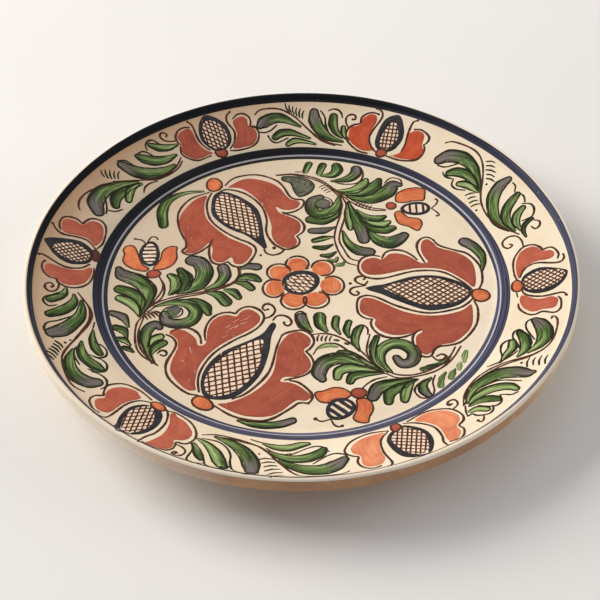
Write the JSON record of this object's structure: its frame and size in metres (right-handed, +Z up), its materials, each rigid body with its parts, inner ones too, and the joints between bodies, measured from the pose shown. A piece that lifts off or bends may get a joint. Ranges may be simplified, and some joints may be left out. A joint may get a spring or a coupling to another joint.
{
  "type": "painted ceramic plate",
  "caption": "Round earthenware plate with a flat well, a sloping flange, a thick rolled lip, a foot ring and hand-painted tulip and leaf motifs.",
  "frame": {"origin": "on the plate's axis, in the plane that the foot ring stands on", "axes": "+Z up along the plate's axis, -Y towards the viewer who sees the two large lower tulips nearest, +X to that viewer's right"},
  "size_m": [0.278, 0.278, 0.029],
  "materials": {
    "clay": "bare buff earthenware, thinly glazed",
    "slip": "cream slip under a clear glossy lead-type glaze",
    "band_blue": "dark blue brushed slip under gloss glaze",
    "petal_red": "brick red brushed slip under gloss glaze",
    "petal_orange": "orange brushed slip under gloss glaze",
    "leaf_green": "streaky copper green under gloss glaze"
  },
  "bodies": {
    "root": {"clay_body": "clay", "foot_ring": "clay", "slip_ground": "slip", "rim_band": "band_blue", "well_band": "band_blue", "well_line": "band_blue", "rosette": "petal_orange", "tulip_upper_left": "petal_red", "tulip_right": "petal_red", "tulip_lower_left": "petal_red", "bud_left": "petal_orange", "bud_upper_right": "petal_orange", "bud_bottom": "petal_orange", "spray_left": "leaf_green", "spray_upper": "leaf_green", "spray_lower": "leaf_green", "leaf_left": "leaf_green", "leaf_right": "leaf_green", "leaf_bottom": "leaf_green", "rim_tulip_1": "petal_red", "rim_tulip_2": "petal_red", "rim_tulip_3": "petal_orange", "rim_tulip_4": "petal_red", "rim_tulip_5": "petal_orange", "rim_tulip_6": "petal_red", "rim_spray_1": "leaf_green", "rim_spray_2": "leaf_green", "rim_spray_3": "leaf_green", "rim_spray_4": "leaf_green", "rim_spray_5": "leaf_green", "rim_spray_6": "leaf_green"}
  },
  "joints": []
}
